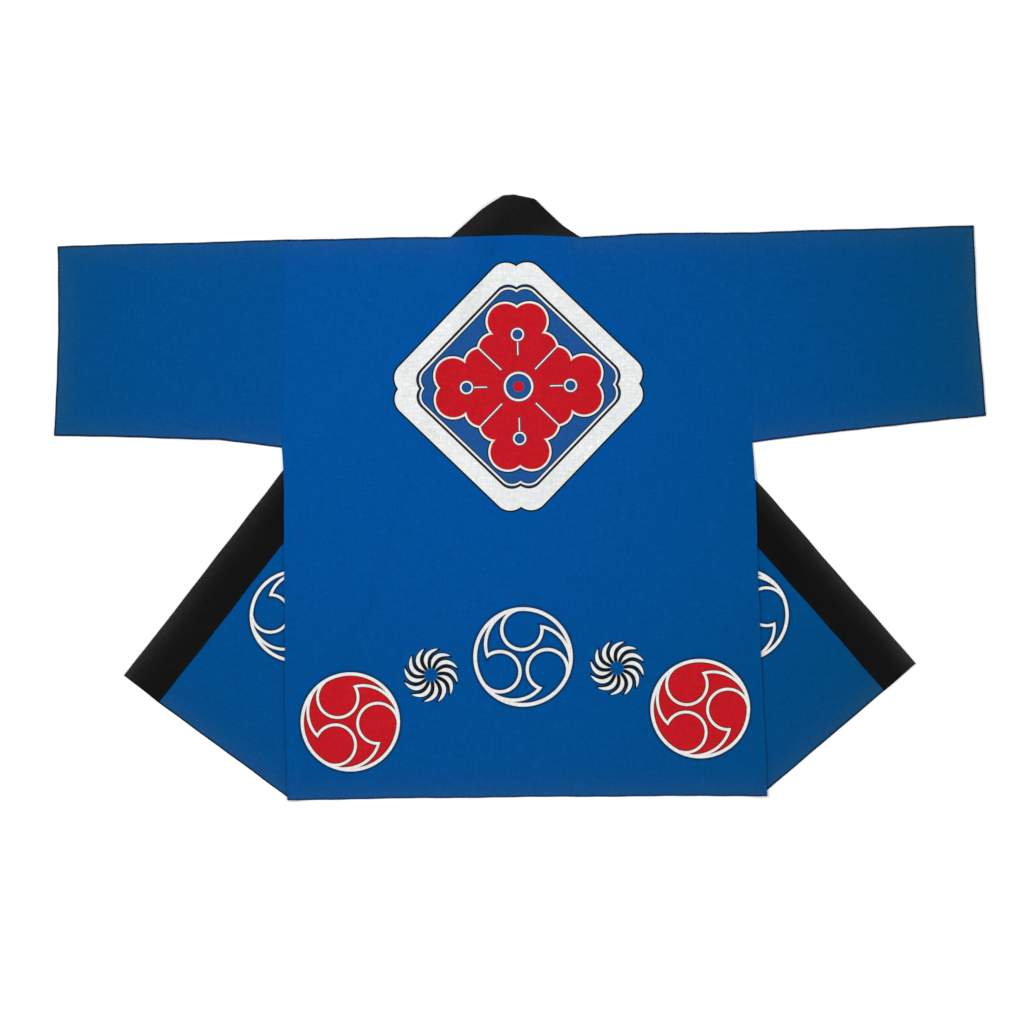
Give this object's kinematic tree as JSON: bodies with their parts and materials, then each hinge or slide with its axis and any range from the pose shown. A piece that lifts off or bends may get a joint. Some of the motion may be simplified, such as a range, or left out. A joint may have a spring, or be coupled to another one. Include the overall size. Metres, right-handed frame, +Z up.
{
  "type": "happi coat",
  "caption": "Short open-front cotton happi coat laid flat back up, straight sleeves, black collar band, fronts folded outward beneath.",
  "frame": {"origin": "on the surface the coat lies on, under the middle of its overall outline", "axes": "+X along the sleeves to the picture's right, +Y from the hem towards the collar, +Z up from the surface through the cloth"},
  "size_m": [1.3248, 0.8618, 0.0066],
  "materials": {
    "indigo_cotton": "matt plain-weave cotton dyed blue, with screen-printed motifs",
    "collar_cotton": "matt black cotton band, doubled and stitched"
  },
  "bodies": {
    "root": {"back": "indigo_cotton", "front_left": "indigo_cotton", "front_right": "indigo_cotton", "sleeve_left": "indigo_cotton", "sleeve_right": "indigo_cotton", "collar": "collar_cotton"}
  },
  "joints": []
}
